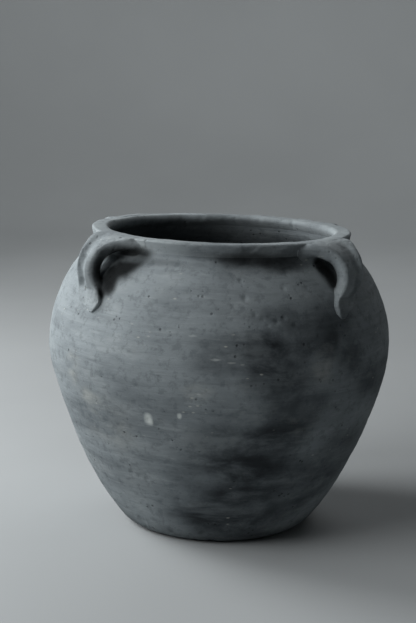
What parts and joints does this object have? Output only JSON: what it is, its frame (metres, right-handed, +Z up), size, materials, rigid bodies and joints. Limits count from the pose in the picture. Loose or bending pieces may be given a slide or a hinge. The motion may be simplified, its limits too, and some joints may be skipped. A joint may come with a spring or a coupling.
{
  "type": "four-eared storage jar",
  "caption": "Round-bellied unglazed clay storage jar with a wide mouth, flat rolled rim and grooved strap ears that loop from the rim down to the shoulder.",
  "frame": {"origin": "middle of the flat underside, on the jar's axis", "axes": "+Z up along the jar's axis, -Y to the front, +X to the right seen from the front; the ears stand in a right pair and a left pair"},
  "size_m": [0.35, 0.35, 0.303],
  "materials": {
    "wall_clay": "matte unglazed, smoke-darkened, faint throwing lines",
    "rim_clay": "matte unglazed, paler from handling",
    "ear_clay": "matte unglazed, finger-smoothed",
    "luting_clay": "matte unglazed, smeared, a little paler"
  },
  "bodies": {
    "root": {"base_slab": "wall_clay", "lower_wall": "wall_clay", "belly_wall": "wall_clay", "shoulder_wall": "wall_clay", "rim_coil": "rim_clay", "ear_front_right": "ear_clay", "ear_front_left": "ear_clay", "ear_back_right": "ear_clay", "ear_back_left": "ear_clay", "ear_luting_front_right": "luting_clay", "ear_luting_front_left": "luting_clay", "ear_luting_back_right": "luting_clay", "ear_luting_back_left": "luting_clay"}
  },
  "joints": []
}
